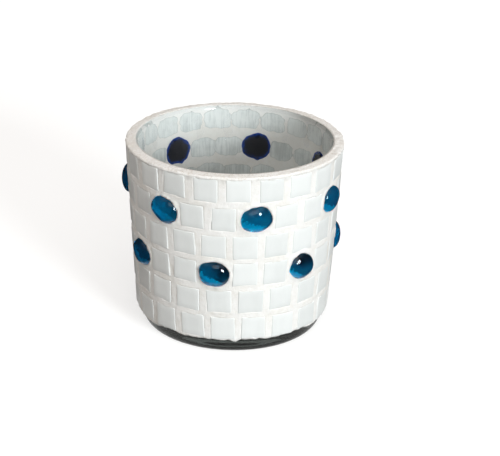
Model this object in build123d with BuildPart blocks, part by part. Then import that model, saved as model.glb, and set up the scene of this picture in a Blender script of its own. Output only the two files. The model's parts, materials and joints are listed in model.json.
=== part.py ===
# A votive candle holder: a tapered glass cup, covered outside in mosaic tiles set in grout,
# with two rings of flat-backed glass nuggets. Millimetres, +Z up, origin at the foot's centre.
import os
from math import atan2, cos, degrees, floor, radians, sin, tan, tau
from random import Random

from build123d import *

os.makedirs("parts", exist_ok=True)

# Glass cup
cup_height = 78.3
foot_radius = 36.6  # where the outer wall's line meets the table
rim_radius = 41.5
glass_wall = 2.8
base_thickness = 7.0
heel_radius = 4.0  # round between the foot and the outer wall
floor_radius = 6.0  # round between the inner wall and the candle's floor

# Mosaic tiles
tile_size = 10.0
tile_thickness = 2.0
tile_chamfer = 0.3  # along the front edges
narrowest_joint = 1.9  # least grout between two tiles
bare_foot = 7.7  # clear glass below the lowest tiles
bare_rim = 0.75  # from the top tiles up to the glass rim
tile_bed = 0.45  # adhesive at the middle of a tile's back
row_starts = [2.1, 12.2, 6.7, -10.2, 10.6, 12.7]  # degrees from the front, top row first

# What laying by hand does to each tile
tile_shift = 0.3
tile_turn = 1.6  # degrees in its own plane
tile_lean = 0.6  # degrees out of its own plane
laying_seed = 5

# Glass nuggets, called gems
gem_rows = {"upper": 2, "lower": 4}  # counted from the top row
tiles_between_gems = 2
gem_width = 12.4
gem_height = 11.0
gem_thickness = 4.9
gem_belly = 1.5  # height of the widest section above the flat back
gem_back_inset = 1.3  # how far the flat back's edge lies inside the widest section
gem_bed = 0.45  # adhesive at the middle of a gem's back
gem_spread = 0.35  # how much a gem's width and height vary
gem_turn = 12.0
gem_seed = 11

# Adhesive
dab_inset = 0.4  # from a tile's edge in to its round dab of adhesive
bond = 0.02  # hairline between two bonded faces

# Grout
grout_recess = 0.35  # how far it lies below the tile faces
grout_foot = 0.5  # how far it reaches below the lowest tiles
collar_proud = 0.2  # how far the band over the top tiles stands out past their faces
collar_round = 0.6
cover_over_lip = 0.3  # grout over the crown of the glass lip
cover_inset = 0.45  # how far it reaches in past that crown
rim_slope = 0.5  # fall of the grout's top from its inner edge to its outer edge

taper = atan2(rim_radius - foot_radius, cup_height)


# Radius of the glass's outer wall at a height.
def glass_radius(height):
    return foot_radius + height * tan(taper)


# A place on the outer wall, a lift away from the glass: X runs round the cup, Y up, Z outward.
def wall_spot(angle, height, lift):
    outward = Vector(sin(angle) * cos(taper), -cos(angle) * cos(taper), -sin(taper))
    on_glass = Vector(sin(angle), -cos(angle), 0) * glass_radius(height) + Vector(0, 0, height)
    along = Vector(cos(angle), sin(angle), 0)
    return Plane(origin=on_glass + outward * lift, x_dir=along, z_dir=outward).location


# How far the round glass falls away from a flat back of this width at its edges.
def fall_away(width):
    return width**2 / (8 * foot_radius)


# Labels and writes a finished piece.
def keep(piece, label):
    piece.part.label = label
    export_step(piece.part, f"parts/{label}.step")


# Glass cup: one turned wall with a thick base and a round lip.
lip_radius = 0.48 * glass_wall
with BuildPart() as glass_cup:
    with BuildSketch(Plane.XZ) as cup_section:
        with BuildLine():
            Polyline(
                (0, 0),
                (foot_radius, 0),
                (rim_radius, cup_height),
                (rim_radius - glass_wall, cup_height),
                (glass_radius(base_thickness) - glass_wall, base_thickness),
                (0, base_thickness),
                close=True,
            )
        make_face()
        levels = cup_section.vertices().group_by(Axis.Y)
        fillet(levels[0].sort_by(Axis.X)[-1], heel_radius)
        fillet(levels[1].sort_by(Axis.X)[-1], floor_radius)
        fillet(levels[-1], lip_radius)
    revolve(axis=Axis.Z)
keep(glass_cup, "glass_cup")

# The cup's outer shape, filled and a hairline larger, to trim what is bonded to it.
with BuildPart() as cup_trim:
    with BuildSketch(Plane.XZ):
        with BuildLine():
            Polyline(
                (0, 0),
                (foot_radius + bond, 0),
                (rim_radius + bond, cup_height),
                (0, cup_height),
                close=True,
            )
        make_face()
    revolve(axis=Axis.Z)

# Rows are spread evenly between the bare glass at the foot and the rim.
tiled_slant = (cup_height - bare_rim - bare_foot) / cos(taper)
row_count = floor((tiled_slant + narrowest_joint) / (tile_size + narrowest_joint))
row_pitch = (tiled_slant - tile_size) / (row_count - 1)


# Height of a row's middle, the top row being 1.
def row_height(row):
    return cup_height - bare_rim - (tile_size / 2 + (row - 1) * row_pitch) * cos(taper)


# How many tiles fit round a row with the least joint.
def tiles_that_fit(row):
    middle = glass_radius(row_height(row)) + tile_bed + tile_thickness / 2
    return floor(tau * middle / (tile_size + narrowest_joint))


# The rows down to the last gems share one count, so that the gems fall evenly.
last_gem_row = max(gem_rows.values())
group = tiles_between_gems + 1
gem_count = tiles_that_fit(last_gem_row) // group


def slot_count(row):
    return gem_count * group if row <= last_gem_row else tiles_that_fit(row)


def slot_angle(row, slot):
    return radians(row_starts[(row - 1) % len(row_starts)]) + tau * slot / slot_count(row)


# Where each tile's back lies, by row, with the small errors of laying by hand.
hand = Random(laying_seed)
tile_spots = {}
for row in range(1, row_count + 1):
    tile_spots[row] = []
    for slot in range(slot_count(row)):
        across, up = hand.uniform(-tile_shift, tile_shift), hand.uniform(-tile_shift, tile_shift)
        lean = hand.uniform(-tile_lean, tile_lean)
        tip = hand.uniform(-tile_lean, tile_lean)
        turn = hand.uniform(-tile_turn, tile_turn)
        if row not in gem_rows.values() or slot % group:
            spot = wall_spot(slot_angle(row, slot), row_height(row), tile_bed)
            tile_spots[row].append(spot * Location((across, up, 0), (lean, tip, turn)))

# One tile, its back on Z = 0.
with BuildPart() as tile:
    Box(tile_size, tile_size, tile_thickness, align=(Align.CENTER, Align.CENTER, Align.MIN))
    chamfer(tile.faces().sort_by(Axis.Z)[-1].edges(), tile_chamfer)

# One dab of adhesive behind a tile, deep enough to reach the glass everywhere.
dab_radius = tile_size / 2 - dab_inset
dab_depth = tile_bed + fall_away(tile_size) + tile_size * sin(radians(tile_lean))
with BuildPart() as dab:
    with BuildSketch(Plane.XY.offset(-bond)):
        Circle(dab_radius)
    extrude(amount=-dab_depth)

# One tile's pocket in the grout, through to the glass.
with BuildPart() as tile_pocket:
    with BuildSketch(Plane.XY.offset(-dab_depth - tile_bed)):
        Rectangle(tile_size + 2 * bond, tile_size + 2 * bond)
    extrude(amount=dab_depth + tile_bed + 2 * tile_thickness)

for row, spots in tile_spots.items():
    with BuildPart() as tile_row:
        with Locations(*spots):
            add(tile.part)
    keep(tile_row, f"tile_row_{row}")

    with BuildPart() as adhesive_row:
        with Locations(*spots):
            add(dab.part)
        add(cup_trim.part, mode=Mode.SUBTRACT)
    keep(adhesive_row, f"tile_adhesive_row_{row}")

# Gems: each turned from its flat back up to its crown, then pressed into an oval.
gem_pockets = []
gem_hand = Random(gem_seed)
for ring, row in gem_rows.items():
    gem_dabs = []
    for number in range(1, gem_count + 1):
        width = gem_width + gem_hand.uniform(-gem_spread, gem_spread)
        height = gem_height + gem_hand.uniform(-gem_spread, gem_spread)
        turned = Location((0, 0, 0), (0, 0, gem_hand.uniform(-gem_turn, gem_turn)))
        spot = wall_spot(slot_angle(row, (number - 1) * group), row_height(row), gem_bed) * turned
        back_edge = width / 2 - gem_back_inset
        crown_rise = gem_thickness - gem_belly

        with BuildPart() as nugget:
            with BuildSketch(Plane.XZ):
                with BuildLine():
                    Line((0, 0), (back_edge, 0))
                    EllipticalCenterArc(
                        (back_edge, gem_belly), gem_back_inset, gem_belly, start_angle=270, arc_size=90
                    )
                    EllipticalCenterArc((0, gem_belly), width / 2, crown_rise, start_angle=0, arc_size=90)
                    Line((0, gem_thickness), (0, 0))
                make_face()
            revolve(axis=Axis.Z)
            scale(by=(1, height / width, 1))
        with BuildPart() as gem:
            with Locations(spot):
                add(nugget.part)
        keep(gem, f"gem_{ring}_{number}")

        # Adhesive under the flat back, down to the glass.
        with BuildPart() as gem_dab:
            with BuildSketch(Plane(spot).offset(-bond)):
                Ellipse(back_edge, back_edge * height / width)
            extrude(amount=-(gem_bed + fall_away(width)))
            add(cup_trim.part, mode=Mode.SUBTRACT)
        gem_dabs.append(gem_dab.part)

        with BuildPart() as gem_pocket:
            with BuildSketch(Plane(spot).offset(gem_thickness)):
                Ellipse(width / 2 + bond, height / 2 + bond)
            extrude(amount=-(gem_thickness + 2 * gem_bed + fall_away(width)))
        gem_pockets.append(gem_pocket.part)
    with BuildPart() as gem_adhesive:
        add(gem_dabs)
    keep(gem_adhesive, f"gem_adhesive_{ring}")

# Grout: one turned skin over the glass, with a pocket for everything set in it.
# Its surfaces keep an edge along the middle of each row, which the pockets open into.
face_lift = (tile_bed + tile_thickness) / cos(taper)
grout_lift = face_lift - grout_recess
grout_bottom = bare_foot - grout_foot
grout_top = cup_height + cover_over_lip
collar_bottom = cup_height - bare_rim
collar_radius = rim_radius + face_lift + collar_proud
inner_end = rim_radius - glass_wall / 2 - cover_inset
row_middles = [row_height(row) for row in range(row_count, 0, -1)]
skin_heights = [grout_bottom, *row_middles, collar_bottom]
with BuildPart() as grout:
    with BuildSketch(Plane.XZ):
        with BuildLine():
            Polyline(
                *[(glass_radius(height) + grout_lift, height) for height in skin_heights],
                (collar_radius, grout_top - rim_slope - collar_round),
                (collar_radius - collar_round, grout_top - rim_slope),
                (inner_end, grout_top),
                (inner_end, cup_height + bond),
                (rim_radius + bond, cup_height + bond),
                *[(glass_radius(height) + bond, height) for height in reversed(skin_heights)],
                close=True,
            )
        make_face()
    revolve(axis=Axis.Z, clean=False)
    with Locations(*[spot for spots in tile_spots.values() for spot in spots]):
        add(tile_pocket.part, mode=Mode.SUBTRACT, clean=False)
    add(gem_pockets, mode=Mode.SUBTRACT, clean=False)
keep(grout, "grout")
print(row_count, "rows,", gem_count, "gems in each ring, taper", round(degrees(taper), 2))
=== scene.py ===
import json
import math
import random

import bmesh
import bpy
import numpy as np
from mathutils import Matrix, Vector, noise


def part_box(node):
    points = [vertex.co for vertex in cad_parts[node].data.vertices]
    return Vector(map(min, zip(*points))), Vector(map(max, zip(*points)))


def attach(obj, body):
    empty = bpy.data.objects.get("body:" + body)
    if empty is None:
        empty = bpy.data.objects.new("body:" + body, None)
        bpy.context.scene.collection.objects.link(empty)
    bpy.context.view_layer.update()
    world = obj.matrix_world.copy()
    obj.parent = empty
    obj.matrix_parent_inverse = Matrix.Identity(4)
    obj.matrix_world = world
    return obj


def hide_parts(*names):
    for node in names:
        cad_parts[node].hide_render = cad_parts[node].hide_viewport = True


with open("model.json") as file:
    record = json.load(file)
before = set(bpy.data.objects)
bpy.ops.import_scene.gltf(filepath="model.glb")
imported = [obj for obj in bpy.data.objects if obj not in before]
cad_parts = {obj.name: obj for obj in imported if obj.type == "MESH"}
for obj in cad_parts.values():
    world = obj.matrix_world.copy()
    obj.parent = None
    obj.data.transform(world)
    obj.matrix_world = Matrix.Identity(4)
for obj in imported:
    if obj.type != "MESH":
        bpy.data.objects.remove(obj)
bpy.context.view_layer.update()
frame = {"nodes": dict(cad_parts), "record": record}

# A glass votive cup dressed in white mosaic tiles, sanded grout and blue glass nuggets.
# Everything is in metres, and what is placed here is placed from the CAD nodes.
mm = 0.001
fullTurn = 2 * math.pi
sameSpot = 0.001 * mm  # corners closer than this are merged
nodes = frame["nodes"]
mounts = {mount["name"]: mount for mount in frame["record"]["mounts"]}

reading = {
    "wallEdge": 5 * mm,  # only the cup's straight walls have longer edges
    "facing": 0.99,  # how squarely a tile's front faces outwards
    "tileSide": 1 * mm,  # corners of a front that lie further apart than this show its sides
    "gemTurns": range(-44, 45, 4),  # the turns, in degrees, that are tried for a gem's longer side
    "gemSample": 9,  # every ninth corner is enough for that
}


def rise(value, low, high):
    # 0 below low, 1 above high and even in between
    return min(1, max(0, (value - low) / (high - low)))


def ringPoint(angle, radius, height):
    # angle 0 is the front, -Y, and grows towards +X
    return Vector((math.sin(angle) * radius, -math.cos(angle) * radius, height))


def angleOf(point):
    return math.atan2(point.x, -point.y)


def radiusOf(point):
    return math.hypot(point.x, point.y)


def wallLines(node):
    # the outer and inner straight lines of a turned wall, each as (radius at height 0, slope)
    lines = []
    for edge in node.data.edges:
        low, high = sorted((node.data.vertices[i].co for i in edge.vertices), key=lambda p: p.z)
        if high.z - low.z > reading["wallEdge"]:
            slope = (radiusOf(high) - radiusOf(low)) / (high.z - low.z)
            lines.append((radiusOf(low) - slope * low.z, slope))
    return max(lines), min(lines)


outerLine, innerLine = wallLines(nodes["glass_cup"])
taper = math.atan(outerLine[1])
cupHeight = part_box("glass_cup")[1].z
floorHeight = mounts["candle_seat"]["pos_m"][2]
groutLow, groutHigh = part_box("grout")


def wallRadius(height):
    return outerLine[0] + outerLine[1] * height


def boreRadius(height):
    return innerLine[0] + innerLine[1] * height


def wallNormal(angle):
    return ringPoint(angle, math.cos(taper), -math.sin(taper))


lipMiddle = (wallRadius(cupHeight) + boreRadius(cupHeight)) / 2
lipHalf = (wallRadius(cupHeight) - boreRadius(cupHeight)) / 2


def solidsOf(node):
    # the corners of each separate solid in a CAD node, with its faces
    bm = bmesh.new()
    bm.from_mesh(node.data)
    bmesh.ops.remove_doubles(bm, verts=bm.verts, dist=sameSpot)
    waiting = set(bm.verts)
    solids = []
    while waiting:
        found = {waiting.pop()}
        edge = list(found)
        while edge:
            corner = edge.pop()
            for link in corner.link_edges:
                other = link.other_vert(corner)
                if other not in found:
                    found.add(other)
                    edge.append(other)
        waiting -= found
        corners = [corner.co.copy() for corner in found]
        faces = {face for corner in found for face in corner.link_faces}
        faces = [(face.normal.copy(), [corner.co.copy() for corner in face.verts]) for face in faces]
        solids.append((corners, faces))
    bm.free()
    return solids


def placed(across, outward, points):
    # a frame with X across, Y up and Z outward, and the points' reach in it
    up = outward.cross(across).normalized()
    turn = Matrix((across.normalized(), up, outward.normalized()))
    local = [turn @ point for point in points]
    low = Vector(min(point[i] for point in local) for i in range(3))
    high = Vector(max(point[i] for point in local) for i in range(3))
    middle = (low + high) / 2
    middle.z = low.z
    place = Matrix.Translation(turn.transposed() @ middle) @ turn.transposed().to_4x4()
    return place, high - low


def tilePlaces(name):
    # each tile of a row: a frame at the middle of its back, and its size
    places = []
    for points, faces in solidsOf(nodes[name]):
        angle = angleOf(sum(points, Vector()) / len(points))
        outward = wallNormal(angle)
        front = [face for face in faces if face[0].dot(outward) > reading["facing"]]
        corners = [point for _, face in front for point in face]
        along = ringPoint(angle + math.pi / 2, 1, 0)
        ways = [b - a for a in corners for b in corners]
        sides = [way.normalized() for way in ways if way.length > reading["tileSide"]]
        across = max(sides, key=lambda side: side.dot(along))
        places.append(placed(across, front[0][0], points))
    return sorted(places, key=lambda place: angleOf(place[0].translation))


def gemPlace(name):
    # a gem's frame at the middle of its flat back, turned so that X runs along its longer side
    points = [v.co.copy() for v in nodes[name].data.vertices]
    angle = angleOf(sum(points, Vector()) / len(points))
    outward = wallNormal(angle)
    along = ringPoint(angle + math.pi / 2, 1, 0)
    turns = [math.radians(degrees) for degrees in reading["gemTurns"]]
    tries = [Matrix.Rotation(turn, 3, outward) @ along for turn in turns]
    sample = points[::reading["gemSample"]]
    across = max(tries, key=lambda way: placed(way, outward, sample)[1].x)
    return placed(across, outward, points)


tileRows = sorted(name for name in nodes if name.startswith("tile_row"))
gemNames = sorted(name for name in nodes if name.startswith(("gem_upper", "gem_lower")))
tilesByRow = {name: tilePlaces(name) for name in tileRows}
gems = {name: gemPlace(name) for name in gemNames}
print("frame read:", sum(len(row) for row in tilesByRow.values()), "tiles and", len(gems), "gems")


class Value:
    # a socket that adds maths nodes when it is used in an expression
    def __init__(self, tree, socket=None):
        self.tree = tree
        self.socket = socket

    def node(self, kind, settings, inputs, output=0):
        made = self.tree.nodes.new("ShaderNode" + kind)
        for name, setting in settings.items():
            setattr(made, name, setting)
        for name, given in inputs.items():
            if isinstance(given, Value):
                self.tree.links.new(given.socket, made.inputs[name])
            else:
                made.inputs[name].default_value = given
        return Value(self.tree, made.outputs[output])

    def maths(self, operation, first, second):
        return self.node("Math", {"operation": operation}, {0: first, 1: second})

    def __add__(self, other):
        return self.maths("ADD", self, other)

    def __radd__(self, other):
        return self.maths("ADD", other, self)

    def __sub__(self, other):
        return self.maths("SUBTRACT", self, other)

    def __rsub__(self, other):
        return self.maths("SUBTRACT", other, self)

    def __mul__(self, other):
        return self.maths("MULTIPLY", self, other)

    def __rmul__(self, other):
        return self.maths("MULTIPLY", other, self)

    def between(self, low, high):
        # 0 at low and 1 at high, smooth in between
        settings = {"interpolation_type": "SMOOTHSTEP"}
        return self.node("MapRange", settings, {"Value": self, "From Min": low, "From Max": high})

    def mix(self, first, second):
        # the first colour where this value is 0, the second where it is 1
        return self.node("Mix", {"data_type": "RGBA"}, {0: self, 6: first, 7: second}, 2)

    def stretched(self, share):
        # this place with its height scaled, so that a pattern runs up the piece
        return self.node("Mapping", {}, {"Vector": self, "Scale": (1, 1, share)})

    def grain(self, scale, detail, rough=0.5):
        # noise over this place
        inputs = {"Vector": self, "Scale": scale, "Detail": detail, "Roughness": rough}
        return self.node("TexNoise", {}, inputs)

    def bump(self, strength, depth):
        return self.node("Bump", {}, {"Height": self, "Strength": strength, "Distance": depth})

    def own(self, name):
        return self.node("Attribute", {"attribute_name": name}, {}, 2)

    def ray(self, kind):
        return self.node("LightPath", {}, {}, kind)


def newMaterial(name):
    made = bpy.data.materials.new(name)
    made.use_nodes = True
    made.node_tree.nodes.clear()
    start = Value(made.node_tree)
    place = start.node("TexCoord", {}, {}, "Object")
    return made, start, place


def show(start, shader, volume=None):
    output = start.tree.nodes.new("ShaderNodeOutputMaterial")
    start.tree.links.new(shader.socket, output.inputs["Surface"])
    if volume is not None:
        start.tree.links.new(volume.socket, output.inputs["Volume"])


def absorption(start, look):
    return start.node("VolumeAbsorption", {}, {"Color": rgba(look["passes"]), "Density": look["density"]})


def rgba(colour):
    return (*colour, 1.0)


tileLook = {
    "colour": (0.835, 0.86, 0.855),
    "shaded": (0.768, 0.793, 0.788),
    "rough": 0.34,
    "uneven": 0.22,  # how much rougher the glaze is in its clouds
    "gloss": 0.3,
    "streaks": 420,
    "stretch": 0.35,
    "clouds": 90,
    "ripples": 260,
    "bump": (0.25, 0.15 * mm),
}


def tileMaterial():
    made, start, place = newMaterial("white mosaic glass")
    streaks = place.stretched(tileLook["stretch"]).grain(tileLook["streaks"], 4)
    clouds = place.grain(tileLook["clouds"], 2)
    ripples = place.grain(tileLook["ripples"], 2)
    shade = (start.own("tint") * 0.35 + streaks * 0.35 + clouds * 0.4).between(0.25, 0.75)
    inputs = {
        "Base Color": shade.mix(rgba(tileLook["shaded"]), rgba(tileLook["colour"])),
        "Roughness": tileLook["rough"] + tileLook["uneven"] * clouds,
        "Normal": (ripples * 0.7 + streaks * 0.3).bump(*tileLook["bump"]),
        "Specular IOR Level": tileLook["gloss"],
    }
    show(start, start.node("BsdfPrincipled", {}, inputs))
    return made


groutLook = {
    "colour": (0.885, 0.88, 0.865),
    "dirty": (0.83, 0.815, 0.78),
    "sand": (0.62, 0.56, 0.49),
    "pressed": (1.0, 1.0, 0.995),  # where it lies against the glass: whiter grout, and under the lip a painted band of light
    "rough": 0.82,
    "uneven": 0.12,
    "gloss": 0.25,
    "grains": 1500,
    "lumps": 520,
    "stains": 70,
    "bump": (0.85, 0.3 * mm),
}


def groutMaterial():
    made, start, place = newMaterial("white sanded grout")
    grains = place.grain(groutLook["grains"], 4, 0.75)
    lumps = place.grain(groutLook["lumps"], 4, 0.6)
    stains = place.grain(groutLook["stains"], 3)
    sandy = start.own("sandy")
    dirt = (stains * 0.6 + lumps * 0.4).between(0.58, 0.36)
    specks = (grains + sandy * 0.07).between(0.55, 0.72) * (0.25 + 0.38 * sandy)
    colour = dirt.mix(rgba(groutLook["colour"]), rgba(groutLook["dirty"]))
    colour = specks.mix(colour, rgba(groutLook["sand"]))
    relief = (grains * 0.6 + lumps) * (0.6 + 1.2 * sandy)
    inputs = {
        "Base Color": start.own("pressed").mix(colour, rgba(groutLook["pressed"])),
        "Roughness": groutLook["rough"] + groutLook["uneven"] * lumps,
        "Normal": relief.bump(*groutLook["bump"]),
        "Specular IOR Level": groutLook["gloss"],
    }
    show(start, start.node("BsdfPrincipled", {}, inputs))
    return made


padLook = {
    "colour": (0.625, 0.665, 0.67),
    "thin": (0.85, 0.885, 0.885),
    "rim": (0.50, 0.52, 0.51),
    "rimShare": 0.65,
    "rough": 0.45,
    "uneven": 0.2,
    "swirls": 330,
    "combed": 1500,
    "stretch": 0.06,
    "patches": 90,
    "paler": (62 * mm, 72 * mm),  # the heights between which the pads grow a little paler: painted light, stronger towards the top
    "bump": (0.3, 0.1 * mm),
}


def padMaterial():
    made, start, place = newMaterial("tile adhesive")
    swirls = place.grain(padLook["swirls"], 4, 0.6)
    combed = place.stretched(padLook["stretch"]).grain(padLook["combed"], 2)
    patches = place.grain(padLook["patches"], 2)
    # painted light: the pads grow a little paler towards the top
    upper = start.node("SeparateXYZ", {}, {0: place}, "Z").between(*padLook["paler"])
    shade = (swirls * 0.3 + patches * 0.35 + combed * 0.35 + upper * 0.07).between(0.38, 0.62)
    edge = (start.own("edge") + swirls * 0.12).between(0.97, 1.08) * padLook["rimShare"]
    colour = shade.mix(rgba(padLook["colour"]), rgba(padLook["thin"]))
    inputs = {
        "Base Color": edge.mix(colour, rgba(padLook["rim"])),
        "Roughness": padLook["rough"] + padLook["uneven"] * swirls,
        "Normal": swirls.bump(*padLook["bump"]),
    }
    show(start, start.node("BsdfPrincipled", {}, inputs))
    return made


cupGlass = {
    "colour": (1.0, 1.0, 1.0),
    "faint": (0.98, 1.0, 0.99),
    "toLamps": (0.995, 1.0, 0.998),
    "passes": (0.03, 0.10, 0.07),
    "density": 30.0,
    "index": 1.5,
    "clouds": 60,
}


def openToLight(start, glass, colour):
    # glass as the camera sees it, but plainly clear to lamps and to light off matt surfaces
    for kind in ("Is Diffuse Ray", "Is Shadow Ray"):
        through = start.node("BsdfTransparent", {}, {"Color": rgba(colour)})
        glass = start.node("MixShader", {}, {0: start.ray(kind), 1: glass, 2: through})
    return glass


def cupMaterial():
    made, start, place = newMaterial("clear glass")
    clouds = place.grain(cupGlass["clouds"], 3)
    inputs = {
        "Base Color": clouds.mix(rgba(cupGlass["colour"]), rgba(cupGlass["faint"])),
        "Roughness": 0.0,
        "IOR": cupGlass["index"],
        "Transmission Weight": 1.0,
    }
    glass = openToLight(start, start.node("BsdfPrincipled", {}, inputs), cupGlass["toLamps"])
    show(start, glass, absorption(start, cupGlass))
    return made


gemGlass = {
    "face": (0.0, 0.82, 1.0),
    "clouded": (0.0, 0.697, 0.85),
    "cloudShare": 0.3,
    "back": (0.0, 0.0004, 0.003),  # its flat back seen through the cup, painted dark as shade
    "passes": (0.0, 0.93, 0.985),
    "density": 720.0,
    "index": 1.52,
    "clouds": 400,
}


def gemMaterial():
    made, start, place = newMaterial("deep blue glass")
    clouds = place.grain(gemGlass["clouds"], 2).between(0.35, 0.75) * gemGlass["cloudShare"]
    face = clouds.mix(rgba(gemGlass["face"]), rgba(gemGlass["clouded"]))
    # painted shade: the flat back is dark where it is seen from outside the gem, through the cup
    behind = start.own("back") * (1 - start.node("NewGeometry", {}, {}, "Backfacing"))
    inputs = {
        "Base Color": behind.mix(face, rgba(gemGlass["back"])),
        "Roughness": 0.0,
        "IOR": gemGlass["index"],
        "Transmission Weight": 1.0,
    }
    show(start, start.node("BsdfPrincipled", {}, inputs), absorption(start, gemGlass))
    return made


glueLook = {
    "dark": (0.0, 0.03, 0.04),  # these three show through the gem, and its glass makes them blue; the first is painted shade, the last a paler tone that also paints the crescent of light
    "under": (0.0, 0.33, 0.40),
    "light": (0.0, 0.90, 1.0),
    "behind": (0.002, 0.002, 0.008),  # these two show through the cup: painted shade behind the gem, and a painted rim of light round its edge
    "halo": (0.0, 0.045, 0.30),
    "rough": 0.3,
    "uneven": 0.2,
    "mottle": 900,
    "clouds": 110,
    "bump": (0.3, 0.1 * mm),
}


def glueMaterial():
    made, start, place = newMaterial("wet adhesive")
    mottle = place.grain(glueLook["mottle"], 4, 0.6)
    clouds = place.grain(glueLook["clouds"], 2) - 0.5
    high, tone = start.own("high"), start.own("tone")
    edge = start.own("edge") + (mottle - 0.5) * 0.6
    # under a gem: painted shade above, bluer below, and a ragged crescent of painted light along its foot,
    # where light would gather through the dome
    depth = (high * 0.6 + clouds * 1.4 + 0.72 - tone * 0.95).between(0, 1)
    paintedLightCrescent = ((mottle - 0.5) * 0.9 - high + 0.3 * edge + (tone - 0.5) * 0.4).between(0.72, 0.82)
    under = tone.between(0.55, 1.35).mix(rgba(glueLook["under"]), rgba(glueLook["light"]))
    under = depth.mix(under, rgba(glueLook["dark"]))
    under = paintedLightCrescent.mix(under, rgba(glueLook["light"]))
    # seen through the cup: painted shade, lighter at the edge in a painted halo of light
    behind = edge.between(0.75, 1.0).mix(rgba(glueLook["behind"]), rgba(glueLook["halo"]))
    inputs = {
        "Base Color": start.own("cup").mix(under, behind),
        "Roughness": glueLook["rough"] + glueLook["uneven"] * mottle,
        "Normal": mottle.bump(*glueLook["bump"]),
    }
    show(start, start.node("BsdfPrincipled", {}, inputs))
    return made


materials = {
    "tile": tileMaterial(),
    "grout": groutMaterial(),
    "pad": padMaterial(),
    "cup": cupMaterial(),
    "glue": glueMaterial(),
    "gem": gemMaterial(),
}
print("materials made:", len(materials))


def finishPiece(name, bm, material, node, smooth=True):
    mesh = bpy.data.meshes.new(name)
    for face in bm.faces:
        face.smooth = smooth
    bm.to_mesh(mesh)
    bm.free()
    mesh.materials.append(materials[material])
    piece = bpy.data.objects.new(name, mesh)
    bpy.context.scene.collection.objects.link(piece)
    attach(piece, "root")
    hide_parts(node)


def turned(profile, steps):
    # a profile of (radius, height) points turned round Z, with its ends on the axis
    bm = bmesh.new()
    corners = [bm.verts.new((0, -radius, height)) for radius, height in profile]
    edges = [bm.edges.new(pair) for pair in zip(corners, corners[1:])]
    spin = {"cent": (0, 0, 0), "axis": (0, 0, 1), "angle": fullTurn, "steps": steps, "use_merge": True}
    bmesh.ops.spin(bm, geom=corners + edges, **spin)
    bmesh.ops.remove_doubles(bm, verts=bm.verts, dist=sameSpot)
    bmesh.ops.recalc_face_normals(bm, faces=bm.faces)
    return bm


def wrapped(profile, steps):
    # a closed ring of (radius, height) points carried round Z, from a grid whose edges meet
    bm = bmesh.new()
    rows = len(profile) - 1
    bmesh.ops.create_grid(bm, x_segments=steps, y_segments=rows, size=1)
    seam = []
    for corner in bm.verts:
        column = round((corner.co.x + 1) / 2 * steps)
        row = round((corner.co.y + 1) / 2 * rows)
        if column in (0, steps) or row in (0, rows):
            seam.append(corner)
        corner.co = ringPoint(column / steps * fullTurn, *profile[row])
    bmesh.ops.remove_doubles(bm, verts=seam, dist=sameSpot)
    bmesh.ops.recalc_face_normals(bm, faces=bm.faces)
    return bm


def arc(centre, radius, start, end, steps):
    angles = [math.radians(start + (end - start) * i / steps) for i in range(steps + 1)]
    return [(centre[0] + radius * math.cos(a), centre[1] + radius * math.sin(a)) for a in angles]


def line(start, end, steps):
    shares = [i / steps for i in range(steps + 1)]
    return [(start[0] + (end[0] - start[0]) * t, start[1] + (end[1] - start[1]) * t) for t in shares]


def wavy(turn, waves, phases):
    # how far an uneven outline reaches: about 1; each wave is its number of lobes and its height
    return 1 + sum(high * math.sin(lobes * turn + phase) for (lobes, high), phase in zip(waves, phases))


def drawnOut(bm, corners):
    # extrudes the faces of a flat patch and gives the new corners, still in their old places
    faces = list({face for corner in corners for face in corner.link_faces})
    parts = bmesh.ops.extrude_face_region(bm, geom=faces)["geom"]
    return [part for part in parts if isinstance(part, bmesh.types.BMVert)]


cupShape = {
    "steps": 224,
    "heel": 4.0 * mm,
    "floorRound": 6.0 * mm,
    "lipFit": 0.985,  # the lip's radius, as a share of half the wall
    "hollow": 0.9 * mm,  # how far the underside is dished inside its foot ring
    "ring": 30 * mm,
    "dish": 24 * mm,  # the flat middle of the dish
}


def makeCup():
    lean = math.degrees(taper)
    heel, floorRound = cupShape["heel"], cupShape["floorRound"]
    lip = lipHalf * math.cos(taper) * cupShape["lipFit"]

    def roundCentre(wallAt, height, radius):
        # a round touches the leaning wall, so its centre lies its own radius in from it
        return wallAt(height) - radius / math.cos(taper), height

    profile = [(0, cupShape["hollow"]), (cupShape["dish"], cupShape["hollow"]), (cupShape["ring"], 0)]
    profile += arc(roundCentre(wallRadius, heel, heel), heel, -90, -lean, 10)
    profile += arc(roundCentre(wallRadius, cupHeight - lip, lip), lip, -lean, 180 - lean, 14)
    floorCentre = roundCentre(boreRadius, floorHeight + floorRound, floorRound)
    profile += arc(floorCentre, floorRound, -lean, -90, 10)
    profile += [(0, floorHeight)]
    finishPiece("votive_glass", turned(profile, cupShape["steps"]), "cup", "glass_cup")


# Tiles: each a cut square of glass with soft front edges and corners a little out of true.
tileCut = {
    "cells": 10,
    "bends": 3,  # the outer cells that bend over the edge
    "edge": 0.45 * mm,
    "smaller": 0.1 * mm,  # than its place in the CAD row, on each side
    "skew": 0.25 * mm,
    "crown": 0.05 * mm,
    "wander": ((160, 0.08 * mm), (700, 0.032 * mm)),  # how closely and how far its lines wander
    "seed": 21,
}


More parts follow.
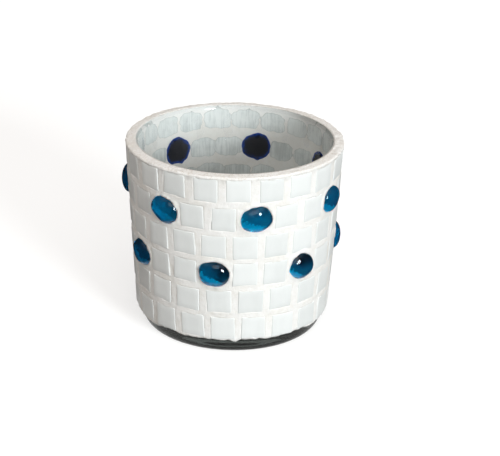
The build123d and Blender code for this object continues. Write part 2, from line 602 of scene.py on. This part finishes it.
def cutTile(place, size, hand):
    # one tile, already in its place: a grid bent over at its edges, with sides drawn down from it
    bm = bmesh.new()
    cells, bends, edge, crown = (tileCut[name] for name in ("cells", "bends", "edge", "crown"))
    bmesh.ops.create_grid(bm, x_segments=cells, y_segments=cells, size=1)
    halfX = size.x / 2 - tileCut["smaller"]
    halfY = size.y / 2 - tileCut["smaller"]

    def astray(reach):
        return Vector((hand.uniform(-1, 1), hand.uniform(-1, 1))) * reach

    def stop(t, reach):
        # the outer cells bend over the edge, and the rest are spread over the face
        ring = round((1 - abs(t)) * cells / 2)
        if ring < bends:
            return math.copysign(reach - edge, t), 90 * (1 - ring / bends)
        return t * (reach - edge) / (1 - 2 * bends / cells), 0

    pulled = {(x, y): astray(tileCut["skew"]) for x in (-1, 1) for y in (-1, 1)}
    tilt = astray(crown)
    for corner in bm.verts:
        u, v = corner.co.x, corner.co.y
        x, bendX = stop(u, halfX)
        y, bendY = stop(v, halfY)
        bend = math.radians(max(bendX, bendY))
        way = Vector((math.copysign(bendX, u), math.copysign(bendY, v))).normalized()
        x += way.x * edge * math.sin(bend)
        y += way.y * edge * math.sin(bend)
        shareX, shareY = (x / halfX + 1) / 2, (y / halfY + 1) / 2
        low = pulled[-1, -1].lerp(pulled[1, -1], shareX)
        high = pulled[-1, 1].lerp(pulled[1, 1], shareX)
        shift = low.lerp(high, shareY)
        level = size.z - edge * (1 - math.cos(bend)) - crown
        level += tilt.x * (shareX - 0.5) + tilt.y * (shareY - 0.5)
        corner.co = (x + shift.x, y + shift.y, level)
    rim = [side for side in bm.edges if side.is_boundary]
    sides = bmesh.ops.extrude_edge_only(bm, edges=rim)["geom"]
    for corner in [part for part in sides if isinstance(part, bmesh.types.BMVert)]:
        corner.co.z = 0
    bmesh.ops.holes_fill(bm, edges=[side for side in bm.edges if side.is_boundary])
    bmesh.ops.transform(bm, matrix=place, verts=bm.verts)
    for corner in bm.verts:
        for pitch, reach in tileCut["wander"]:
            corner.co += noise.noise_vector(corner.co * pitch) * reach
    return bm


def makeTileRow(row, hand):
    bm = bmesh.new()
    tint = bm.faces.layers.float.new("tint")
    for place, size in tilesByRow[row]:
        tile = cutTile(place, size, hand)
        spare = bpy.data.meshes.new("tile")
        tile.to_mesh(spare)
        tile.free()
        laid = len(bm.faces)
        bm.from_mesh(spare)
        bpy.data.meshes.remove(spare)
        bm.faces.ensure_lookup_table()
        shade = hand.random()
        for face in bm.faces[laid:]:
            face[tint] = shade
    bmesh.ops.recalc_face_normals(bm, faces=bm.faces)
    finishPiece(row.replace("tile_row", "mosaic_course"), bm, "tile", row)


# Adhesive pads: what shows of the adhesive through the glass, rounded and uneven.
padShape = {
    "width": 11.7 * mm,
    "height": 8.0 * mm,
    "depth": 0.4 * mm,
    "cells": 16,
    "square": 3.2,  # 2 is round, and more is squarer
    "waves": ((2, 0.03), (3, 0.03), (5, 0.03), (8, 0.025), (11, 0.025), (17, 0.015)),
    "widths": (0.9, 1.08),
    "heights": (0.93, 1.06),
    "drop": 0.5 * mm,
    "astray": 0.4 * mm,
    "uneven": 0.3 * mm,
    "wet": 0.08 * mm,  # how far it lies in the glass, so that no air shows between
    "seed": 33,
}


def layPad(bm, edge, angle, height, hand):
    cells, square = padShape["cells"], padShape["square"]
    wide = padShape["width"] / 2 * hand.uniform(*padShape["widths"])
    high = padShape["height"] / 2 * hand.uniform(*padShape["heights"])
    phases = [hand.uniform(0, fullTurn) for _ in padShape["waves"]]
    made = bmesh.ops.create_grid(bm, x_segments=cells, y_segments=cells, size=1)["verts"]
    for corner in made:
        out = max(abs(corner.co.x), abs(corner.co.y))
        turn = math.atan2(corner.co.y, corner.co.x)
        reach = (abs(math.cos(turn)) ** square + abs(math.sin(turn)) ** square) ** (-1 / square)
        reach *= out * wavy(turn, padShape["waves"], phases)
        z = height + high * reach * math.sin(turn) * math.cos(taper)
        radius = wallRadius(z) - padShape["wet"]
        corner[edge] = out
        corner.co = ringPoint(angle + wide * reach * math.cos(turn) / radius, radius, z)
    for corner in drawnOut(bm, made):
        corner.co += Vector((corner.co.x, corner.co.y, 0)).normalized() * padShape["depth"]


def makePads(row):
    hand = random.Random(padShape["seed"] + int(row[-1]))
    bm = bmesh.new()
    edge = bm.verts.layers.float.new("edge")
    for place, _ in tilesByRow[row]:
        middle = place.translation
        astray = hand.uniform(-1, 1) * padShape["astray"]
        uneven = hand.uniform(-1, 1) * padShape["uneven"]
        angle = angleOf(middle) + astray / radiusOf(middle)
        layPad(bm, edge, angle, middle.z - padShape["drop"] + uneven, hand)
    bmesh.ops.recalc_face_normals(bm, faces=bm.faces)
    name, node = (row.replace("tile_row", given) for given in ("adhesive_pads", "tile_adhesive_row"))
    finishPiece(name, bm, "pad", node, smooth=False)


# Gems: fire-polished nuggets, flat behind, each a little out of round.
gemShape = {
    "around": 56,
    "up": 30,
    "outline": 1.03,  # its width and thickness, as shares of the CAD gem's
    "thickness": 0.975,
    "belly": 0.30,  # how far up its thickness it is widest
    "tuck": 1.7,  # how flat it is under the belly
    "waves": ((2, 0.016), (3, 0.016), (4, 0.016), (5, 0.016)),
    "lean": 0.5 * mm,
    "back": (0.45, 0.75),  # how far down its underside counts as its back, which is painted dark as shade
    "seed": 7,
}

gemHand = random.Random(gemShape["seed"])
gemPhases = {name: [gemHand.uniform(0, fullTurn) for _ in gemShape["waves"]] for name in gemNames}


def gemHalf(name):
    # half the gem's width, half its height and its whole thickness
    size = gems[name][1]
    half = size / 2 * gemShape["outline"]
    return half.x, half.y, size.z * gemShape["thickness"]


def gemReach(name, turn):
    return wavy(turn, gemShape["waves"], gemPhases[name])


def gemShare(name, x, y):
    # how far out a point of the gem's own frame lies: 1 at its outline
    wide, high, _ = gemHalf(name)
    return math.hypot(x / wide, y / high) / gemReach(name, math.atan2(y / high, x / wide))


def gemUnder(name, level):
    # the outline's share at a level above the gem's back, where it tucks in under its belly
    belly = gemHalf(name)[2] * gemShape["belly"]
    tuck = (1 - rise(level, 0, belly)) / gemShape["tuck"]
    return math.sqrt(1 - tuck * tuck)


def makeGem(name):
    wide, high, thick = gemHalf(name)
    belly = thick * gemShape["belly"]
    lean = Vector((gemHand.uniform(-1, 1), gemHand.uniform(-1, 1), 0)) * gemShape["lean"]
    bm = bmesh.new()
    back = bm.verts.layers.float.new("back")
    bmesh.ops.create_uvsphere(bm, u_segments=gemShape["around"], v_segments=gemShape["up"], radius=1)
    for corner in bm.verts:
        x, y, z = corner.co
        corner[back] = rise(-z, *gemShape["back"])
        reach = gemReach(name, math.atan2(y, x))
        level = belly + z * (thick - belly) if z > 0 else belly * (1 - min(1, -gemShape["tuck"] * z))
        corner.co = Vector((x * wide * reach, y * high * reach, level)) + lean * max(z, 0)
    bmesh.ops.transform(bm, matrix=gems[name][0], verts=bm.verts)
    bmesh.ops.recalc_face_normals(bm, faces=bm.faces)
    finishPiece(name.replace("gem", "nugget"), bm, "gem", name)


# Glue: a bead behind each gem, from its flat back down to the cup, where it spreads.
glueShape = {
    "cells": 28,
    "front": 0.78,  # how wide it is behind the gem, and how far up it sits there
    "lift": 0.10,
    "spread": 1.03,  # how wide it is on the cup
    "waves": ((2, 0.015), (3, 0.012), (5, 0.01), (9, 0.012), (14, 0.008)),
    "ragged": 0.12,
    "raggedPitch": 3,
    "drip": 0.22,
    "dripWidth": 0.15,
    "dripLean": 0.4,
    "wetGem": 0.05 * mm,  # how far it lies in the glass on either side, so that no air shows between
    "wetCup": 0.09 * mm,
    "darkSide": 1.15,  # the way its side of painted shade faces, seen from outside; the crescent of painted light lies opposite
    "seed": 230,
}


def layGlue(bm, layers, name, hand):
    cells, lift = glueShape["cells"], glueShape["lift"]
    place = gems[name][0]
    inGem = place.inverted()
    wide, high, _ = gemHalf(name)
    phases = [hand.uniform(0, fullTurn) for _ in glueShape["waves"]]
    drip = hand.uniform(0, 1) * glueShape["drip"]
    lean = hand.uniform(-1, 1) * glueShape["dripLean"]
    tone = hand.uniform(0, 1)
    made = bmesh.ops.create_grid(bm, x_segments=cells, y_segments=cells, size=1)["verts"]
    for corner in made:
        out = max(abs(corner.co.x), abs(corner.co.y))
        turn = math.atan2(corner.co.y, corner.co.x)
        corner[layers["edge"]] = out
        # high runs towards the side of painted shade and away from the crescent of painted light
        corner[layers["high"]] = out * math.cos(turn - glueShape["darkSide"])
        corner[layers["tone"]] = tone
        frayed = noise.noise(Vector((math.cos(turn), math.sin(turn), phases[0])) * glueShape["raggedPitch"])
        reach = out * glueShape["front"] * gemReach(name, turn) * (1 + glueShape["ragged"] * out * frayed)
        x, y = reach * math.cos(turn), reach * math.sin(turn) + lift
        corner.co = place @ Vector((wide * x, high * y, glueShape["wetGem"]))
    for corner in drawnOut(bm, made):
        x, y, _ = inGem @ corner.co
        out = corner[layers["edge"]]
        turn = math.atan2(y / high - lift, x / wide)
        below = (turn + math.pi / 2 + lean) / glueShape["dripWidth"]
        reach = wavy(turn, glueShape["waves"], phases) + drip * math.exp(-(below ** 2)) * out
        reach *= glueShape["spread"] * out * gemReach(name, turn)
        spot = place @ Vector((wide * reach * math.cos(turn), high * reach * math.sin(turn), 0))
        corner[layers["cup"]] = 1.0
        corner.co = ringPoint(angleOf(spot), wallRadius(spot.z) - glueShape["wetCup"], spot.z)


def makeGemGlue(ring, hand):
    bm = bmesh.new()
    layers = {name: bm.verts.layers.float.new(name) for name in ("edge", "high", "cup", "tone")}
    for name in gemNames:
        if ring in name:
            layGlue(bm, layers, name, hand)
    bmesh.ops.recalc_face_normals(bm, faces=bm.faces)
    finishPiece(f"nugget_glue_{ring}", bm, "glue", f"gem_adhesive_{ring}", smooth=False)


# Grout: a skin round the cup, pushed in under the tiles, even in the joints, heaped round the gems.
groutShape = {
    "steps": 480,
    "fine": 0.5 * mm,  # the skin's rows, at the joints and beside the gems, and elsewhere
    "coarse": 1.1 * mm,
    "jointBand": 1.6 * mm,
    "halfJoint": 0.5 * mm,
    "besideGem": 1.0 * mm,
    "lift": 2.40 * mm,
    "wet": 0.05 * mm,  # how far it lies in the glass, so that no air shows between
    "skirt": 0.6 * mm,
    "footRound": 0.6,  # as a share of the lift
    "fray": ((3.1, 1.3 * mm), (14, 0.78 * mm)),  # how closely and how far its lower edge runs
    "frayBand": 3.0 * mm,
    "collar": 1.9 * mm,
    "collarOut": 2.5 * mm,
    "collarEase": ((0.12 * mm, 0.35 * mm), (0.0, 0.7 * mm)),  # in and up from the collar's foot
    "shoulder": 0.75 * mm,
    "shoulderDrop": 0.3 * mm,
    "crownIn": 0.1 * mm,
    "overLip": 0.28 * mm,
    "insideFoot": 1.3 * mm,
    "skin": 1.2 * mm,  # what lies further out than this from the glass is the outside
    "overTop": 0.1 * mm,
    "swell": ((90, 0.10 * mm), (330, 0.07 * mm)),  # how closely and how far it swells
    "fillet": 0.02 * mm,
    "filletReach": 0.35 * mm,
    "underTile": 0.5 * mm,
    "sink": 0.7 * mm,
    "heap": 0.3 * mm,
    "heapReach": 1.1 * mm,
    "heapLumps": ((420, 0.4 * mm),),
    "rim": 2.2 * mm,
    "rimGrit": ((430, 0.24 * mm), (900, 0.168 * mm)),
    "gritBelow": 0.4,  # its share below the rim
    "lipReach": 0.8 * mm,  # over the lip the relief fades out towards the bore
    "lipBand": 1.0 * mm,
    "sandOutside": (-2.5 * mm, 0.0),  # heights from the cup's lip between which the sand comes in
    "sandInside": (-1.04 * mm, -0.24 * mm),
    "whiter": (-6.0 * mm, -3.0 * mm),  # and between which the grout on the glass turns whiter: a painted band of light under the lip
    "whiteBelow": 0.3,
    "tileSearch": 9 * mm,
    "gemSearch": 11 * mm,
    "bedSearch": 9 * mm,
    "hole": 0.975,  # the bed's edge and its foot, as shares of the gem's outline
    "foot": 0.98,
    "press": 0.985,  # the grout lies a touch inside the gem's skin, as if wet against it
    "bedCuts": 5,
}


def groutLevels(start, end):
    # heights from start to end: close together at the joints and beside the gems
    joints = [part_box(name)[0].z - groutShape["halfJoint"] for name in tileRows]
    busy = [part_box(name) for name in gemNames]
    margin = groutShape["besideGem"]
    levels = [start]
    while levels[-1] < end:
        z = levels[-1]
        atJoint = min(abs(z - joint) for joint in joints) < groutShape["jointBand"]
        beside = any(low.z - margin < z < high.z + margin for low, high in busy)
        levels.append(z + groutShape["fine" if atJoint or beside else "coarse"])
    stretch = (end - start) / (levels[-1] - start)
    return [start + (z - start) * stretch for z in levels]


def groutProfile():
    # up the outside, over the collar and the cup's lip, and down the glass again
    low, top = groutLow.z - groutShape["skirt"], groutHigh.z
    lift, wet, shoulder = groutShape["lift"], groutShape["wet"], groutShape["shoulder"]
    foot = lift * groutShape["footRound"]
    collar = top - groutShape["collar"]
    reach = wallRadius(cupHeight) + groutShape["collarOut"]
    lipCentre = (lipMiddle, cupHeight - lipHalf)
    outer = arc((wallRadius(low + foot) + lift - foot, low + foot), foot, -90, 0, 5)
    outer += [(wallRadius(z) + lift, z) for z in groutLevels(low + foot, collar)][1:]
    outer += [(reach - inwards, collar + up) for inwards, up in groutShape["collarEase"]]
    outer += arc((reach - shoulder, top - shoulder - groutShape["shoulderDrop"]), shoulder, 0, 75, 5)
    outer += line(outer[-1], (lipMiddle - groutShape["crownIn"], top), 8)[1:]
    outer += arc(lipCentre, lipHalf + groutShape["overLip"], 92, 102, 2)  # 90 degrees is the lip's top
    inner = arc(lipCentre, lipHalf - wet, 104, 20, 12)
    levels = groutLevels(low, cupHeight - groutShape["insideFoot"])
    inner += [(wallRadius(z) - wet, z) for z in reversed(levels)]
    return outer + inner + [outer[0]]


def near(points, place, reach):
    # the points within reach of a place, and where they lie in its frame
    middle = np.array(place.translation)
    close = np.nonzero(((points - middle) ** 2).sum(1) < reach * reach)[0]
    return close, (points[close] - middle) @ np.array(place.to_3x3())


def noiseOver(bm, waves):
    # noise at each corner; each wave is how closely and how far it runs
    return np.array([sum(far * noise.noise(v.co * pitch) for pitch, far in waves) for v in bm.verts])


def groutRelief(bm, points, radii):
    # how far each corner of the outside moves along its normal
    level = noiseOver(bm, groutShape["swell"])
    heap = groutShape["heap"] + noiseOver(bm, groutShape["heapLumps"])
    grit = noiseOver(bm, groutShape["rimGrit"])
    sunk = np.zeros(len(points), bool)
    for place, size in [tile for row in tilesByRow.values() for tile in row]:
        close, local = near(points, place, groutShape["tileSearch"])
        away = np.maximum(abs(local[:, 0]) - size.x / 2, abs(local[:, 1]) - size.y / 2)
        level[close] += groutShape["fillet"] * np.exp(-((away / groutShape["filletReach"]) ** 2))
        sunk[close[away < -groutShape["underTile"]]] = True
    for place, size in gems.values():
        close, local = near(points, place, groutShape["gemSearch"])
        away = (np.hypot(2 * local[:, 0] / size.x, 2 * local[:, 1] / size.y) - 1) * size.y / 2
        level[close[away < 0]] = 0
        level[close] += heap[close] * np.exp(-((away / groutShape["heapReach"]) ** 2))
    level[sunk] = -groutShape["sink"]
    onLip = np.clip((radii - lipMiddle) / groutShape["lipReach"], 0, 1)
    level += grit * np.where(points[:, 2] > cupHeight - groutShape["rim"], 1, groutShape["gritBelow"])
    return level * np.where(points[:, 2] > cupHeight - groutShape["lipBand"], onLip, 1)


def fraySkirt(bm):
    # the grout's lower edge runs up and down
    for corner in bm.verts:
        share = 1 - (corner.co.z - groutLow.z) / groutShape["frayBand"]
        if share > 0:
            around = ringPoint(angleOf(corner.co), 1, 0)
            frayed = sum(far * noise.noise(around * pitch) for pitch, far in groutShape["fray"])
            corner.co.z += min(share, 1) * frayed


def makeGrout():
    bm = wrapped(groutProfile(), groutShape["steps"])
    pressed = bm.verts.layers.float.new("pressed")
    sandy = bm.verts.layers.float.new("sandy")
    bm.normal_update()
    points = np.array([v.co for v in bm.verts])
    radii = np.hypot(points[:, 0], points[:, 1])
    outside = radii > wallRadius(points[:, 2]) + groutShape["skin"]
    outside |= points[:, 2] > cupHeight + groutShape["overTop"]
    relief = np.where(outside, groutRelief(bm, points, radii), 0)
    whiteBelow = groutShape["whiteBelow"]
    fraySkirt(bm)
    for corner, lift, out in zip(bm.verts, relief, outside):
        high = corner.co.z - cupHeight
        inside = rise(high, *groutShape["sandInside"])
        # on the glass the grout is a little whiter, and under the lip whiter still as a painted band of
        # light
        white = whiteBelow + (1 - whiteBelow) * rise(high, *groutShape["whiter"])
        corner[pressed] = 0.0 if out else white - inside
        corner[sandy] = rise(high, *groutShape["sandOutside"]) if out else inside
        corner.co += corner.normal * float(lift)
        fit = min(1, groutHigh.x / radiusOf(corner.co))  # nothing passes the CAD's own box
        corner.co = (corner.co.x * fit, corner.co.y * fit, min(corner.co.z, groutHigh.z))
    openGrout(bm)
    bmesh.ops.recalc_face_normals(bm, faces=bm.faces)
    finishPiece("sanded_grout", bm, "grout", "grout")


def hugGem(name, corners):
    # moves the corners of a gem's bed onto its underside
    place = gems[name][0]
    inGem = place.inverted()
    for corner in corners:
        x, y, z = inGem @ corner.co
        under = gemUnder(name, z) * groutShape["press"] if z > 0 else groutShape["foot"]
        fit = under / gemShare(name, x, y)
        corner.co = place @ Vector((x * fit, y * fit, z))


def openGrout(bm):
    # a bed for each gem right through the grout, which hugs the gem's underside
    reach = groutShape["bedSearch"]
    centres = np.array([face.calc_center_median() for face in bm.faces])
    faces = list(bm.faces)
    inside = set()
    for name in gemNames:
        close, local = near(centres, gems[name][0], reach)
        shares = [gemShare(name, x, y) for x, y, _ in local]
        inside.update(i for i, share in zip(close.tolist(), shares) if share < groutShape["hole"])
    bmesh.ops.delete(bm, geom=[faces[i] for i in inside], context="FACES")
    rims = [edge for edge in bm.edges if edge.is_boundary]
    for name in gemNames:
        middle = gems[name][0].translation
        rim = [edge for edge in rims if (edge.verts[0].co - middle).length < reach]
        hugGem(name, {corner for edge in rim for corner in edge.verts})
        sides = bmesh.ops.bridge_loops(bm, edges=rim)["edges"]
        rungs = [edge for edge in sides if edge not in rim]
        cut = bmesh.ops.subdivide_edges(bm, edges=rungs, cuts=groutShape["bedCuts"])["geom_inner"]
        hugGem(name, [part for part in cut if isinstance(part, bmesh.types.BMVert)])


makeCup()
print("cup made")
tileHand = random.Random(tileCut["seed"])
for rowName in tileRows:
    makeTileRow(rowName, tileHand)
    makePads(rowName)
print("tiles and their adhesive laid")
for gemName in gemNames:
    makeGem(gemName)
glueHand = random.Random(glueShape["seed"])
for ringName in ("upper", "lower"):
    makeGemGlue(ringName, glueHand)
print("gems set")
makeGrout()
print("grout wiped")


# The room: a pale floor that keeps the cup's shadow, and a soft, nearly white sky.
studio = {
    "floorSize": 6.0,
    "floorBounce": 0.35,  # its colour as the object is lit by it, and as it is seen
    "floorSeen": 0.47,
    "floorGlow": 0.60,
    "footprint": (24 * mm, 36 * mm),  # the glow comes in between these radii, leaving a painted shadow under and round the foot
    "mirrored": 0.05,  # how bright the room is in reflections, apart from the floor near the foot
    "nearFloor": (48 * mm, 60 * mm),
    "nearDim": 0.25,  # how much of the near floor is dimmed too
    "ambient": 0.40,
    "ambientTint": (1.0, 0.91, 0.84),
}


def grey(level):
    return (level, level, level, 1.0)


def plainlySeen(start):
    # 1 for what the camera sees straight, in a reflection or through glass
    seen = start.ray("Is Camera Ray")
    for kind in ("Is Glossy Ray", "Is Transmission Ray"):
        seen = seen.maths("MAXIMUM", seen, start.ray(kind))
    return seen


def floorMaterial():
    made, start, place = newMaterial("pale floor")
    out = start.node("VectorMath", {"operation": "LENGTH"}, {0: place}, "Value")
    paper = start.node("BsdfDiffuse", {}, {"Color": grey(studio["floorBounce"]), "Roughness": 1.0})
    pale = start.node("BsdfDiffuse", {}, {"Color": grey(studio["floorSeen"]), "Roughness": 1.0})
    # painted shadow: no glow under and close round the cup's foot
    glow = out.between(*studio["footprint"]).mix(grey(0), grey(studio["floorGlow"]))
    glow = start.node("Emission", {}, {"Color": glow, "Strength": 1.0})
    lifted = start.node("AddShader", {}, {0: pale, 1: glow})
    shown = start.node("MixShader", {}, {0: plainlySeen(start), 1: paper, 2: lifted})
    dim = start.node("BsdfDiffuse", {}, {"Color": grey(studio["floorSeen"] * studio["mirrored"])})
    far = out.between(*studio["nearFloor"]) * (1 - studio["nearDim"]) + studio["nearDim"]
    mirrored = far * start.ray("Is Glossy Ray")
    show(start, start.node("MixShader", {}, {0: mirrored, 1: shown, 2: dim}))
    return made


def makeFloor():
    bm = bmesh.new()
    bmesh.ops.create_grid(bm, x_segments=1, y_segments=1, size=studio["floorSize"] / 2)
    mesh = bpy.data.meshes.new("floor")
    bm.to_mesh(mesh)
    bm.free()
    mesh.materials.append(floorMaterial())
    ground = bpy.data.objects.new("floor", mesh)
    bpy.context.scene.collection.objects.link(ground)


def makeWorld():
    world = bpy.data.worlds.new("studio")
    world.use_nodes = True
    world.node_tree.nodes.clear()
    start = Value(world.node_tree)

    def sky(colour, strength):
        return start.node("Background", {}, {"Color": colour, "Strength": strength})

    soft = sky(rgba(studio["ambientTint"]), studio["ambient"])
    white = sky(grey(1), 1.0)
    dim = sky(grey(1), studio["mirrored"])
    seen = start.node("MixShader", {}, {0: plainlySeen(start), 1: soft, 2: white})
    seen = start.node("MixShader", {}, {0: start.ray("Is Glossy Ray"), 1: seen, 2: dim})
    output = world.node_tree.nodes.new("ShaderNodeOutputWorld")
    world.node_tree.links.new(seen.socket, output.inputs["Surface"])
    bpy.context.scene.world = world


# Lamps: turn and height are degrees round and above the middle of the cup.
lamps = {
    "key": {"power": 18.3, "size": 0.5, "turn": 32, "height": 13.5, "tint": (0.93, 0.985, 1)},
    "front": {"power": 5.5, "size": 1.2, "turn": 0, "height": 40, "tint": (1, 0.98, 0.95)},
    "right": {"power": 2.0, "size": 1.2, "turn": 60, "height": 50},
    "left": {"power": 1.3, "size": 1.2, "turn": -75, "height": 55, "tint": (1, 0.97, 0.94)},
    "top": {"power": 4.7, "size": 1.6, "turn": 0, "height": 89, "distance": 1.5, "glints": False},
}


def makeLamp(name, power, size, turn, height, distance=1.6, tint=(1, 1, 1), glints=True):
    lamp = bpy.data.lights.new(name, "AREA")
    lamp.shape = "DISK"
    lamp.size = size
    lamp.energy = power
    lamp.color = tint
    made = bpy.data.objects.new(name, lamp)
    turn, height = math.radians(turn), math.radians(height)
    aim = Vector((0, 0, cupHeight / 2))
    made.location = aim + ringPoint(turn, math.cos(height) * distance, math.sin(height) * distance)
    made.rotation_mode = "QUATERNION"
    made.rotation_quaternion = (aim - made.location).to_track_quat("-Z", "Y")
    made.visible_glossy = glints
    bpy.context.scene.collection.objects.link(made)


view = {
    "distance": 0.798,
    "elevation": 23.08,
    "pivot": 0.038,
    "aim": (0.00681, 0.0, 0.03916),
    "roll": 1.21,
    "lens": 140.05,
    "sensor": 36,
}


def makeCamera():
    lens = bpy.data.cameras.new("camera")
    lens.lens = view["lens"]
    lens.sensor_width = view["sensor"]
    lens.clip_start, lens.clip_end = 0.01, 20
    made = bpy.data.objects.new("camera", lens)
    up, away = math.radians(view["elevation"]), view["distance"]
    made.location = (0, -away * math.cos(up), view["pivot"] + away * math.sin(up))
    look = (Vector(view["aim"]) - made.location).to_track_quat("-Z", "Y")
    made.rotation_mode = "QUATERNION"
    made.rotation_quaternion = look @ Matrix.Rotation(math.radians(view["roll"]), 3, "Z").to_quaternion()
    bpy.context.scene.collection.objects.link(made)
    bpy.context.scene.camera = made


makeFloor()
makeWorld()
for lampName, lampSetting in lamps.items():
    makeLamp(lampName, **lampSetting)
makeCamera()
bpy.context.scene.view_settings.view_transform = "Standard"
print("studio set")
